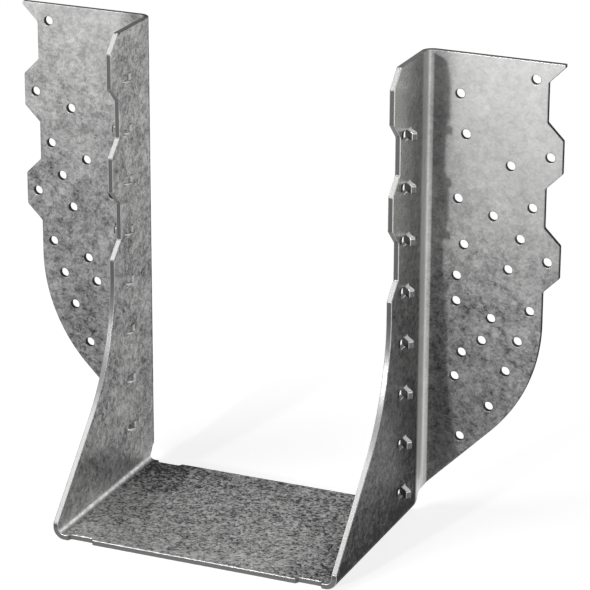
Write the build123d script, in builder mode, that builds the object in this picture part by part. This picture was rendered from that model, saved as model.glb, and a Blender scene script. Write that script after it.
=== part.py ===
from build123d import *
from math import radians
import os

# Face-mounted joist hanger, folded from one sheet of galvanised steel.
# Units are millimetres. +Z is up, +Y points towards the header that the flanges are nailed to.
# The origin lies under the middle of the seat: X = 0 midway between the walls, Y = 0 halfway
# between the flanges' back faces and the seat's front edge, Z = 0 on the seat's underside.
os.makedirs("parts", exist_ok=True)

# Sheet and folds
thickness = 2.7
fold_radius = 3.2
seat_bend_radius = 3.0
corner_radius = 1.0

# Overall sizes
pocket_width = 139.7
pocket_height = 226.4
overall_depth = 108.6

# Front edge of the walls, as distances forward of the flanges' back faces
wall_valley = 37.1
wall_crest = 45.0
wall_crest_starts = (8.5, 59.3, 110.1)
wall_crest_length = 16.8
wall_curve_drop = 118.7
wall_curve_radius = 92.0
wall_curve_angle = 44.1
wall_foot_height = 7.8

# Back edge of the walls below the folds
fold_foot_height = 8.3
heel_low = 3.4
heel_high = 5.3
heel_step = 1.9

# Outer edge of the flanges, as distances from the middle
flange_valley = 130.8
flange_crest = 138.7
flange_crest_starts = (-14.4, 36.4, 87.2)
flange_crest_length = 16.0
flange_curve_drop = 127.3
flange_curve_radius = 80.9

# Seat edges and the shallow reliefs beside its bends
seat_back_gap = 9.4
relief_depth = 2.0
relief_inner = 53.0
relief_outer = 64.0
relief_slant = 1.0

# Round nail holes of a flange: distance from the middle, distance below the top edge
nail_hole_diameter = 4.6
nail_holes = [
    (124.8, 8.6),
    (88.1, 19.6),
    (91.4, 38.7),
    (132.7, 45.0),
    (113.6, 51.4),
    (124.8, 70.4),
    (88.1, 70.4),
    (105.7, 76.8),
    (119.2, 86.4),
    (91.4, 92.7),
    (132.7, 95.9),
    (113.6, 102.1),
    (88.1, 108.5),
    (124.8, 121.2),
    (88.1, 121.2),
    (105.7, 127.6),
    (119.2, 137.2),
    (101.3, 139.3),
    (91.4, 146.7),
    (113.6, 153.0),
    (88.1, 159.3),
    (105.7, 172.1),
    (91.4, 189.6),
]

# Nail guides: a tab of the wall, cut free on three sides and bent outwards, open to the front
guide_count = 8
guide_pitch = 25.4
guide_first_drop_right = 33.9
guide_first_drop_left = 24.2
guide_bend_gap = 24.0
tab_length = 9.0
tab_height = 4.3
tab_angle = 45
tab_bend_radius = 0.8
tab_corner_radius = 1.0
tab_clearance = 0.15

# Derived positions
top = pocket_height + thickness
wall_inside = pocket_width / 2
wall_outside = wall_inside + thickness
fold_depth = thickness + fold_radius
header_y = overall_depth / 2
front_y = -overall_depth / 2
fold_start_y = header_y - fold_depth
flange_start_x = wall_outside + fold_radius
seat_back_y = header_y - seat_back_gap
tab_bend_y = header_y - guide_bend_gap


def notched_edge(valley, crest, crest_starts, crest_length):
    """Corners of a notched edge from the top down, as (distance, drop below the top edge)."""
    rise = crest - valley
    corners = []
    for start in crest_starts:
        end = start + crest_length
        corners += [(valley, start - rise), (crest, start), (crest, end), (valley, end + rise)]
    return corners


def near(values, value):
    """Whether a coordinate equals one of the given ones."""
    return any(abs(value - other) < 0.01 for other in values)


def between(corners, low, high):
    """The corners of a sketch whose second coordinate lies between two values."""
    return [corner for corner in corners if low < corner.Y < high]


with BuildPart() as flange:
    # Fold and flange as one L-shaped strip, seen from above
    with BuildSketch():
        with BuildLine():
            inner = CenterArc((flange_start_x, fold_start_y), fold_radius, 90, 90)
            outer = CenterArc((flange_start_x, fold_start_y), fold_depth, 90, 90)
            Line(inner @ 1, outer @ 1)
            Polyline(
                inner @ 0,
                (flange_crest, header_y - thickness),
                (flange_crest, header_y),
                outer @ 0,
            )
        make_face()
    extrude(amount=top)

    # Keep only what lies inside the flange's outline, seen from the front
    corners = notched_edge(flange_valley, flange_crest, flange_crest_starts, flange_crest_length)
    edge = [(out, top - drop) for out, drop in corners]
    with BuildSketch(Plane.XZ) as front:
        with BuildLine():
            Polyline((wall_inside - 5, edge[0][1]), *edge)
            straight = Line(edge[-1], (flange_valley, top - flange_curve_drop))
            curve = JernArc(straight @ 1, (0, -1), flange_curve_radius, -45)
            run = (curve @ 1).X - wall_outside
            slope = Line(curve @ 1, (wall_outside, (curve @ 1).Y - run))
            Polyline(
                slope @ 1,
                (wall_inside, fold_foot_height),
                (wall_inside - 5, fold_foot_height),
                (wall_inside - 5, edge[0][1]),
            )
        make_face()
        bends = [v for v in front.vertices() if near((flange_valley, flange_crest), v.X)]
        fillet(between(bends, top - flange_curve_drop + 1, top - 1), corner_radius)
    extrude(amount=overall_depth, both=True, mode=Mode.INTERSECT)

    # Nail holes
    with BuildSketch(Plane.XZ.offset(-header_y)):
        with Locations([(out, top - drop) for out, drop in nail_holes]):
            Circle(nail_hole_diameter / 2)
    extrude(amount=thickness, mode=Mode.SUBTRACT)

with BuildPart() as tab:
    # Seen from above, with the wall's outer face at X = 0 and the bend's start at Y = 0
    with BuildSketch():
        with BuildLine():
            inner = CenterArc((tab_bend_radius, 0), tab_bend_radius, 180, tab_angle)
            outer = CenterArc((tab_bend_radius, 0), tab_bend_radius + thickness, 180, tab_angle)
            straight = tab_length - inner.length - thickness / 2 * radians(tab_angle)
            inner_side = PolarLine(inner @ 1, straight, tab_angle - 90)
            outer_side = PolarLine(outer @ 1, straight, tab_angle - 90)
            Line(inner_side @ 1, outer_side @ 1)
            Polyline(inner @ 0, (0, tab_clearance), (-thickness, tab_clearance), outer @ 0)
        make_face()
    extrude(amount=tab_height / 2, both=True)
    free_end = tab.edges().filter_by(Axis((0, 0, 0), (1, 1, 0)))
    fillet(free_end, tab_corner_radius)

with BuildPart() as slot:
    # What the tab leaves open in the wall
    with BuildSketch(Plane.YZ.offset(-thickness)) as opening:
        with Locations((-tab_length / 2, 0)):
            Rectangle(tab_length, tab_height + 2 * tab_clearance)
        fillet(opening.vertices().group_by(Axis.X)[0], tab_corner_radius)
    extrude(amount=thickness)


def guide_places(first_drop):
    """Heights of the nail guides of one wall."""
    return [top - first_drop - guide_pitch * i for i in range(guide_count)]


with BuildPart() as hanger:
    # Seat, seat bends and walls as one channel, seen from the front
    with BuildSketch(Plane.XZ.offset(-fold_start_y)) as section:
        with Locations((0, top / 2)):
            Rectangle(2 * wall_outside, top)
        fillet(section.vertices().group_by(Axis.Y)[0], seat_bend_radius + thickness)
        with Locations((0, (top + thickness) / 2)):
            Rectangle(pocket_width, top - thickness, mode=Mode.SUBTRACT)
        inside = [v for v in section.vertices() if near((thickness,), v.Y)]
        fillet(inside, seat_bend_radius)
    extrude(amount=fold_start_y - front_y)

    # Keep only what lies inside the walls' outline, seen from the side
    corners = notched_edge(wall_valley, wall_crest, wall_crest_starts, wall_crest_length)[:-2]
    edge = [(header_y - forward, top - drop) for forward, drop in corners]
    with BuildSketch(Plane.YZ) as side:
        with BuildLine():
            Polyline((fold_start_y, top + 5), (header_y - wall_valley, top + 5), *edge)
            straight = Line(edge[-1], (header_y - wall_crest, top - wall_curve_drop))
            curve = JernArc(straight @ 1, (0, -1), wall_curve_radius, -wall_curve_angle)
            slope = Line(curve @ 1, (front_y, wall_foot_height))
            Polyline(
                slope @ 1,
                (front_y, -5),
                (seat_back_y, -5),
                (seat_back_y, heel_low),
                (seat_back_y + heel_step, heel_high),
                (fold_start_y, fold_foot_height),
                (fold_start_y, top + 5),
            )
        make_face()
        notches = (header_y - wall_valley, header_y - wall_crest)
        bends = [v for v in side.vertices() if near(notches, v.X)]
        fillet(between(bends, top - wall_curve_drop + 1, top - 0.1), corner_radius)
    extrude(amount=wall_outside + 5, both=True, mode=Mode.INTERSECT)

    # Reliefs in the seat's front and back edges, next to its bends
    with BuildSketch():
        for edge_y, into in ((front_y, 1), (seat_back_y, -1)):
            for side in (-1, 1):
                with BuildLine():
                    Polyline(
                        (side * (relief_inner - relief_slant), edge_y - into),
                        (side * (relief_inner - relief_slant), edge_y),
                        (side * relief_inner, edge_y + into * relief_depth),
                        (side * relief_outer, edge_y + into * relief_depth),
                        (side * (relief_outer + relief_slant), edge_y),
                        (side * (relief_outer + relief_slant), edge_y - into),
                        close=True,
                    )
                make_face()
    extrude(amount=thickness, mode=Mode.SUBTRACT)

    # Flanges, mirrored about the middle
    add(flange.part)
    add(mirror(flange.part, about=Plane.YZ))

    # Nail guides of the right wall, then the mirrored ones of the left wall
    for height in guide_places(guide_first_drop_right):
        place = Location((wall_outside, tab_bend_y, height))
        add(slot.part.moved(place), mode=Mode.SUBTRACT)
        add(tab.part.moved(place))
    for height in guide_places(guide_first_drop_left):
        place = Location((wall_outside, tab_bend_y, height))
        add(mirror(slot.part.moved(place), about=Plane.YZ), mode=Mode.SUBTRACT)
        add(mirror(tab.part.moved(place), about=Plane.YZ))

hanger.part.label = "hanger"
export_step(hanger.part, "parts/hanger.step")
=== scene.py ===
import logging
from dataclasses import asdict, dataclass, field
from enum import Enum
from functools import reduce
from math import acos, ceil, cos, pi, radians, sin, tan
from operator import add

import bpy
import numpy as np
import numpy.typing as npt
from mathutils import Matrix, Vector
from mathutils.geometry import delaunay_2d_cdt


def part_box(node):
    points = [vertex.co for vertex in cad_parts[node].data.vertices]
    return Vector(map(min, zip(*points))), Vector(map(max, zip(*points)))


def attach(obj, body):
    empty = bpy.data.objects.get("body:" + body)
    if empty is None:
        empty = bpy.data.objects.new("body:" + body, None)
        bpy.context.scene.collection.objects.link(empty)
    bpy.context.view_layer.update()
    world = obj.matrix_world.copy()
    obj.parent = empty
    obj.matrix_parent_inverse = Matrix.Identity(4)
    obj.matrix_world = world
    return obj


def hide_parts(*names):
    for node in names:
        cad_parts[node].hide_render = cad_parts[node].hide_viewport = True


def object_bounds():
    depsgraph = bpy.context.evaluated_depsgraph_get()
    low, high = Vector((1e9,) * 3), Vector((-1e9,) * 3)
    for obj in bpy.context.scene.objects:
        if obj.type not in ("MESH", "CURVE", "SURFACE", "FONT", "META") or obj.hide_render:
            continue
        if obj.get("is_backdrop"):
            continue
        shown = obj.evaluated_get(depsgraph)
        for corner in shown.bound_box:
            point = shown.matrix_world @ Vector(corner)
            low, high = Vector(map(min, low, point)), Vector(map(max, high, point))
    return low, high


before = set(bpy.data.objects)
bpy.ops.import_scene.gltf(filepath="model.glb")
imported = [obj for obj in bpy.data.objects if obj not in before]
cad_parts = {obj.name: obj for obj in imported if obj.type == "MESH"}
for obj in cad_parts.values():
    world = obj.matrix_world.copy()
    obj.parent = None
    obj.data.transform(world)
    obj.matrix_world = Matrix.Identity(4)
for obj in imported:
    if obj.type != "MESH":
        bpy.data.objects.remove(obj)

# The joist hanger is one sheet of galvanised steel, cut, punched and folded. Its mesh is worked out
# on the flat sheet, in millimetres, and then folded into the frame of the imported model.
Array = npt.NDArray[np.float64]
Mask = npt.NDArray[np.bool_]
Indices = npt.NDArray[np.int64]
Corner = tuple[float, float, float]
Range = tuple[float, float]
Colour = tuple[float, float, float]
MILLIMETRE = 0.001
# Fewest straight parts of a rounded corner, the distance within which points count as one, and the
# double area below which a triangle is left out
LEAST_ARC_PARTS = 4
MERGE_DISTANCE = 1e-7
SLIVER_AREA = 1e-6
# Numbers of the sockets of a Mix node that mixes colours
MIX_SHARE, MIX_FIRST, MIX_SECOND, MIX_RESULT = 0, 6, 7, 2
# Names of the sheet's UV map and of the node that it stands for
FLAT_MAP = "flat_sheet"
NODE = "hanger"
LOG = logging.getLogger("joist_hanger")


class Rim(Enum):
    """The kind of cut edge that a point of the sheet lies on."""

    NONE = 0
    OUTLINE = 1
    HOLE = 2
    SLIT = 3


class Side(Enum):
    """A wall with its flange, as seen from the front."""

    LEFT = -1
    RIGHT = 1


def rising(values: Array, low: float, high: float) -> Array:
    """0 up to the low value, 1 from the high value, and straight between them."""
    return np.clip((values - low) / (high - low), 0.0, 1.0)


def by_side(s: Array, pair: Range) -> Array:
    """The first value of a pair on the left half of the flat sheet, the second on the right."""
    return np.where(s > 0, pair[1], pair[0])


def polyline_arcs(corners: list[Corner], step: float) -> Array:
    """Closed outline with rounded corners and evenly divided runs.

    At each corner the arc touches both runs: it starts the radius times the tangent of half the turn
    before the corner, and its points are that start turned about the arc's centre. The straight runs
    between the arcs are divided into lengths of at most one step.

    Args:
        corners: Each corner as (s, t, radius), in order.
        step: Longest distance between neighbouring points.

    Returns:
        The points, one (s, t) per row.
    """
    place = np.array([corner[:2] for corner in corners], dtype=float)
    radius = np.array([corner[2] for corner in corners], dtype=float)
    run = np.roll(place, -1, axis=0) - place
    ahead = run / np.linalg.norm(run, axis=1, keepdims=True)
    behind = np.roll(ahead, 1, axis=0)
    turn = np.arctan2(
        behind[:, 0] * ahead[:, 1] - behind[:, 1] * ahead[:, 0],
        (behind * ahead).sum(axis=1),
    )
    back = (radius * np.tan(np.abs(turn) / 2))[:, None]
    start, end = place - back * behind, place + back * ahead
    normal = np.stack([-behind[:, 1], behind[:, 0]], axis=1) * np.sign(turn)[:, None]
    centre = start + radius[:, None] * normal
    pieces = []
    for index in range(len(corners)):
        arc = abs(turn[index]) * radius[index]
        parts = max(LEAST_ARC_PARTS, ceil(arc / step))
        angle = np.linspace(0.0, turn[index], parts + 1)
        spoke = start[index] - centre[index]
        pieces.append(centre[index] + np.stack([
            np.cos(angle) * spoke[0] - np.sin(angle) * spoke[1],
            np.sin(angle) * spoke[0] + np.cos(angle) * spoke[1],
        ], axis=1))
        following = start[(index + 1) % len(corners)]
        parts = max(1, ceil(np.linalg.norm(following - end[index]) / step))
        share = np.arange(1, parts)[:, None] / parts
        pieces.append(end[index] + share * (following - end[index]))
    return np.concatenate(pieces)


def signed_area(loop: Array) -> float:
    """Area of a closed outline, positive where it runs anticlockwise."""
    following = np.roll(loop, -1, axis=0)
    return float((loop[:, 0] * following[:, 1] - loop[:, 1] * following[:, 0]).sum() / 2)


def inward_normals(loop: Array) -> Array:
    """Unit normals to the left of a closed outline, square to the line through both neighbours.

    Args:
        loop: The outline's points, one (s, t) per row.

    Returns:
        One normal per point.
    """
    along = np.roll(loop, -1, axis=0) - np.roll(loop, 1, axis=0)
    along /= np.linalg.norm(along, axis=1, keepdims=True)
    return np.stack([-along[:, 1], along[:, 0]], axis=1)


def is_inside(points: Array, loops: list[Array]) -> Mask:
    """Whether points lie in the material that the outlines bound, holes left out.

    A ray along s from each point crosses the outlines an odd number of times if it starts inside.

    Args:
        points: Places to test, one (s, t) per row.
        loops: The outer outline and the holes, each closed.

    Returns:
        One truth value per point.
    """
    crossings = np.zeros(len(points), dtype=int)
    for loop in loops:
        a, b = loop, np.roll(loop, -1, axis=0)
        above = (a[None, :, 1] > points[:, 1, None]) != (b[None, :, 1] > points[:, 1, None])
        rise = np.where(b[:, 1] == a[:, 1], 1.0, b[:, 1] - a[:, 1])
        meet = a[:, 0] + (points[:, 1, None] - a[:, 1]) * (b[:, 0] - a[:, 0]) / rise
        crossings += (above & (meet > points[:, 0, None])).sum(axis=1)
    return crossings % 2 == 1


@dataclass(frozen=True)
class NailGuides:
    """Tabs of the wall, cut free on three sides and bent outwards, open to the front."""

    count: int = 8
    pitch: float = 25.4
    first_drop_right: float = 33.9
    first_drop_left: float = 24.2
    hinge_gap: float = 24.0
    tab_length: float = 9.0
    tab_height: float = 4.3
    clearance: float = 0.15
    corner_radius: float = 1.0
    end_rounding: float = 0.49
    bend_radius: float = 0.8
    bend_angle: float = radians(45)
    bend_rows: int = 5

    def drops(self, side: Side) -> Array:
        """Distances of a wall's guides below its top edge."""
        first = self.first_drop_right if side is Side.RIGHT else self.first_drop_left
        return first + self.pitch * np.arange(self.count)

    def slit(self) -> list[Corner]:
        """Outline of the cut round a tab, whose width is the clearance.

        Returns:
            Its corners, as (height above the tab's middle, distance in front of the hinge, radius).
        """
        tab = self.tab_height / 2
        slot = tab + self.clearance
        reach = self.tab_length - self.clearance
        end = self.clearance * self.end_rounding
        return [
            (-slot, 0.0, end),
            (-slot, self.tab_length, self.corner_radius),
            (slot, self.tab_length, self.corner_radius),
            (slot, 0.0, end),
            (tab, 0.0, end),
            (tab, reach, self.corner_radius),
            (-tab, reach, self.corner_radius),
            (-tab, 0.0, end),
        ]


@dataclass(frozen=True)
class Folds:
    """The folds of the sheet, which take a place of the flat sheet into the frame.

    A place is (s, t, w) in millimetres. s runs from the seat's middle across a seat bend and up a
    wall, and is negative on the left. t runs from the front edge towards the header, across a fold
    and out along a flange. w is the depth in the sheet, from the pocket's side to the outer side.
    """

    top: float
    header_y: float
    thickness: float = 2.7
    pocket_half: float = 69.85
    seat_radius: float = 3.0
    fold_radius: float = 3.2
    guides: NailGuides = field(default_factory=NailGuides)

    @property
    def seat_half(self) -> float:
        """Half the flat width of the seat."""
        return self.pocket_half - self.seat_radius

    @property
    def seat_turn(self) -> float:
        """Radius of a seat bend at the sheet's middle layer."""
        return self.seat_radius + self.thickness / 2

    @property
    def wall_s(self) -> float:
        """Where a wall starts on the flat sheet."""
        return self.seat_half + self.seat_turn * pi / 2

    @property
    def wall_z(self) -> float:
        """Height at which a wall starts."""
        return self.thickness + self.seat_radius

    @property
    def fold_y(self) -> float:
        """Where a fold starts, on the flat sheet and in the frame."""
        return self.header_y - self.thickness - self.fold_radius

    @property
    def fold_turn(self) -> float:
        """Radius of a fold at the sheet's middle layer."""
        return self.fold_radius + self.thickness / 2

    @property
    def flange_t(self) -> float:
        """Where a flange starts on the flat sheet."""
        return self.fold_y + self.fold_turn * pi / 2

    @property
    def flange_x(self) -> float:
        """Distance from the middle at which a flange starts."""
        return self.pocket_half + self.thickness + self.fold_radius

    @property
    def hinge_y(self) -> float:
        """Where the tabs of the nail guides start to bend."""
        return self.header_y - self.guides.hinge_gap

    def s_at(self, height: float) -> float:
        """Place on the flat sheet of a height on a wall or, below it, on a seat bend.

        On the bend, the height is the wall's start less the middle layer's radius times the cosine
        of the turn.

        Args:
            height: Height above the seat's underside.

        Returns:
            The length from the seat's middle.
        """
        if height >= self.wall_z:
            return self.wall_s + height - self.wall_z
        return self.seat_half + self.seat_turn * acos((self.wall_z - height) / self.seat_turn)

    def t_at(self, reach: float) -> float:
        """Place on the flat sheet of a distance from the middle on a flange."""
        return self.flange_t + reach - self.flange_x

    def on_tab(self, s: Array, t: Array) -> Mask:
        """Whether places of the flat sheet lie on a tab, inside the middle line of its slit.

        That line is a rectangle in front of the hinge with two rounded corners: a place is inside if
        it is nearer than the corner's radius to the rectangle without its corners.

        Args:
            s: Places along the wall.
            t: Places towards the header.

        Returns:
            One truth value per place.
        """
        guides = self.guides
        half = guides.tab_height / 2 + guides.clearance / 2 - guides.corner_radius
        reach = guides.tab_length - guides.clearance / 2 - guides.corner_radius
        drop = self.top - (np.abs(s) - self.wall_s + self.wall_z)
        left, right = guides.drops(Side.LEFT), guides.drops(Side.RIGHT)
        middles = np.where((s > 0)[:, None], right[None, :], left[None, :])
        height = np.abs(drop[:, None] - middles).min(axis=1)
        ahead = self.hinge_y - t
        off = np.hypot(np.maximum(height - half, 0.0), np.maximum(ahead - reach, 0.0))
        return (off < guides.corner_radius) & (ahead > 0.0)

    def place(self, flat: Array) -> Array:
        """Folds places of the flat sheet.

        Across a seat bend, the place turns about the bend's centre line by its length on the middle
        layer over that layer's radius, and the layer at w keeps its own radius. Beyond the bend it
        rises with the wall. Across a fold, and across the bend of a tab, it turns in the same way
        about an upright line, and goes on straight along the flange or the tab.

        Args:
            flat: Places (s, t, w), one per row.

        Returns:
            Places in the frame, in millimetres.
        """
        s, t, w = flat[:, 0], flat[:, 1], flat[:, 2]
        out = np.abs(s)
        tilt = np.clip((out - self.seat_half) / self.seat_turn, 0.0, pi / 2)
        layer = self.seat_radius + w
        x = np.minimum(out, self.seat_half) + layer * np.sin(tilt)
        z = self.wall_z - layer * np.cos(tilt) + np.maximum(out - self.wall_s, 0.0)

        swing = np.clip((t - self.fold_y) / self.fold_turn, 0.0, pi / 2)
        layer = self.fold_radius + self.thickness - w
        x = x + layer * (1.0 - np.cos(swing)) + np.maximum(t - self.flange_t, 0.0)
        y = np.minimum(t, self.fold_y) + layer * np.sin(swing)

        guides = self.guides
        turn = guides.bend_radius + self.thickness / 2
        ahead = self.hinge_y - t
        bend = np.clip(ahead / turn, 0.0, guides.bend_angle)
        straight = np.maximum(ahead - turn * guides.bend_angle, 0.0)
        layer = guides.bend_radius + self.thickness - w
        tab_x = x + layer * (1.0 - np.cos(bend)) + straight * sin(guides.bend_angle)
        tab_y = self.hinge_y - layer * np.sin(bend) - straight * cos(guides.bend_angle)
        tab = self.on_tab(s, t)
        x, y = np.where(tab, tab_x, x), np.where(tab, tab_y, y)
        return np.stack([np.where(s < 0, -x, x), y, z], axis=1)


@dataclass(frozen=True)
class WallEdge:
    """Front edge of a wall, as distances in front of the flanges' back faces and below the top."""

    valley: float = 37.1
    crest: float = 45.0
    crest_starts: tuple[float, ...] = (8.5, 59.3, 110.1)
    crest_length: float = 16.8
    curve_drop: float = 118.7
    curve_radius: float = 92.0
    curve_angle: float = radians(44.1)
    foot_height: float = 7.8
    bend_radius: float = 1.2
    tip_radius: float = 0.45

    def corners(self, folds: Folds, front_y: float) -> list[Corner]:
        """Works the edge out from the seat up to the top of the wall.

        The curve touches the lowest crest where it starts. Its corner lies the radius times the
        tangent of half its turn below that.

        Args:
            folds: The folds of the sheet.
            front_y: The seat's front edge.

        Returns:
            The corners, as (s, t, radius).
        """
        crest, valley = folds.header_y - self.crest, folds.header_y - self.valley
        rise = self.crest - self.valley
        meet = self.curve_drop + self.curve_radius * tan(self.curve_angle / 2)
        path = [(front_y, self.foot_height, self.bend_radius)]
        path.append((crest, folds.top - meet, self.curve_radius))
        for start in reversed(self.crest_starts):
            if start != self.crest_starts[-1]:
                end = start + self.crest_length
                path.append((valley, folds.top - end - rise, self.bend_radius))
                path.append((crest, folds.top - end, self.bend_radius))
            path.append((crest, folds.top - start, self.bend_radius))
            last = start == self.crest_starts[0]
            radius = self.tip_radius / 2 if last else self.bend_radius
            path.append((valley, folds.top - start + rise, radius))
        path.append((valley, folds.top, self.tip_radius))
        return [(folds.s_at(z), y, radius) for y, z, radius in path]


@dataclass(frozen=True)
class FlangeEdge:
    """Outer edge of a flange, as distances from the middle and below the top."""

    valley: float = 130.8
    crest: float = 138.7
    crest_starts: tuple[float, ...] = (36.4, 87.2)
    crest_length: float = 16.0
    tip_drop: float = 1.6
    curve_drop: float = 127.3
    curve_radius: float = 80.9
    curve_angle: float = radians(45)
    bend_radius: float = 1.2
    tip_radius: float = 0.45
    fold_foot: float = 8.3

    def corners(self, folds: Folds) -> list[Corner]:
        """Works the edge out from the top down to the foot of the fold.

        Below the curve it runs down at 45 degrees to the wall's outer face, so it falls by as much as
        it runs in.

        Args:
            folds: The folds of the sheet.

        Returns:
            The corners, as (s, t, radius).
        """
        rise = self.crest - self.valley
        path = [(self.crest, 0.0, self.tip_radius), (self.crest, self.tip_drop, self.bend_radius / 2)]
        path.append((self.valley, self.tip_drop + rise, self.bend_radius))
        for start in self.crest_starts:
            end = start + self.crest_length
            path.append((self.valley, start - rise, self.bend_radius))
            path.append((self.crest, start, self.bend_radius))
            path.append((self.crest, end, self.bend_radius))
            path.append((self.valley, end + rise, self.bend_radius))
        meet = self.curve_drop + self.curve_radius * tan(self.curve_angle / 2)
        path.append((self.valley, meet, self.curve_radius))
        found = [(folds.s_at(folds.top - drop), folds.t_at(x), radius) for x, drop, radius in path]

        slope_end = folds.top - meet - (self.valley - folds.flange_x)
        middle = (folds.fold_y + folds.flange_t) / 2
        lower = slope_end - (folds.flange_x - folds.pocket_half - folds.thickness)
        found.append((folds.s_at(slope_end), folds.flange_t, self.bend_radius))
        found.append((folds.s_at(lower), middle, self.bend_radius))
        found.append((folds.s_at(self.fold_foot), folds.fold_y, self.bend_radius))
        return found


@dataclass(frozen=True)
class SeatEdge:
    """Front and back edges of the seat, with the reliefs beside its bends and the walls' heels."""

    back_gap: float = 9.4
    heel_low: float = 3.4
    heel_high: float = 5.3
    heel_step: float = 1.9
    relief_depth: float = 2.0
    relief_inner: float = 53.0
    relief_outer: float = 64.0
    relief_slant: float = 1.0
    corner_radius: float = 0.6

    def relief(self, edge: float, into: float) -> list[Corner]:
        """Works out the relief of one edge, from the middle outwards.

        Args:
            edge: Place of the edge towards the header.
            into: 1 or -1, the direction from the edge into the seat.

        Returns:
            The corners, as (s, t, radius).
        """
        deep = edge + into * self.relief_depth
        return [
            (self.relief_inner - self.relief_slant, edge, self.corner_radius),
            (self.relief_inner, deep, self.corner_radius),
            (self.relief_outer, deep, self.corner_radius),
            (self.relief_outer + self.relief_slant, edge, self.corner_radius),
        ]

    def back_corners(self, folds: Folds) -> list[Corner]:
        """Works out the wall's heel and the seat's back edge, from the fold to the middle.

        Args:
            folds: The folds of the sheet.

        Returns:
            The corners, as (s, t, radius).
        """
        back_y = folds.header_y - self.back_gap
        found = [
            (folds.s_at(self.heel_high), back_y + self.heel_step, self.corner_radius),
            (folds.s_at(self.heel_low), back_y, self.corner_radius),
        ]
        return found + self.relief(back_y, -1.0)[::-1]


@dataclass(frozen=True)
class NailHoles:
    """Round nail holes of a flange, as distances from the middle and below the top."""

    diameter: float = 4.6
    points: int = 32
    places: tuple[tuple[float, float], ...] = (
        (124.8, 8.6), (88.1, 19.6), (91.4, 38.7), (132.7, 45.0), (113.6, 51.4), (124.8, 70.4),
        (88.1, 70.4), (105.7, 76.8), (119.2, 86.4), (91.4, 92.7), (132.7, 95.9), (113.6, 102.1),
        (88.1, 108.5), (124.8, 121.2), (88.1, 121.2), (105.7, 127.6), (119.2, 137.2),
        (101.3, 139.3), (91.4, 146.7), (113.6, 153.0), (88.1, 159.3), (105.7, 172.1), (91.4, 189.6),
    )

    def loops(self, folds: Folds, side: Side) -> list[Array]:
        """Outlines of one flange's holes: the centre plus the radius times cosine and sine.

        Args:
            folds: The folds of the sheet.
            side: Which flange.

        Returns:
            One closed outline per hole.
        """
        angle = np.linspace(0.0, 2 * pi, self.points, endpoint=False)
        rim = np.stack([np.cos(angle), np.sin(angle)], axis=1) * self.diameter / 2
        found = []
        for reach, drop in self.places:
            middle = np.array([side.value * folds.s_at(folds.top - drop), folds.t_at(reach)])
            found.append(middle + rim)
        return found


@dataclass(frozen=True)
class CutRim:
    """Section of a cut edge: rounded over from both faces, with the sheared face between."""

    radius: float = 0.4
    parts: int = 3
    sheared: Range = (5 / 6, 1.0)

    def section(self, thickness: float) -> tuple[Array, Array, Array]:
        """Profile of the rim from the pocket's side to the outer side.

        Each rounding is a quarter circle about a centre that lies one radius in from the edge and
        one radius below the face.

        Args:
            thickness: Thickness of the sheet.

        Returns:
            The inset and depth of each point, the outward and depth parts of its normal, and how
            much of it is sheared steel.
        """
        angle = np.linspace(0.0, pi / 2, self.parts + 1)
        first = np.stack([self.radius * (1 - np.sin(angle)), self.radius * (1 - np.cos(angle))], axis=1)
        second = np.stack([first[::-1, 0], thickness - first[::-1, 1]], axis=1)
        facing = np.stack([np.sin(angle), -np.cos(angle)], axis=1)
        points = np.concatenate([first, second])
        normals = np.concatenate([facing, facing[::-1] * (1.0, -1.0)])
        return points, normals, rising(normals[:, 0], *self.sheared)


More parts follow.
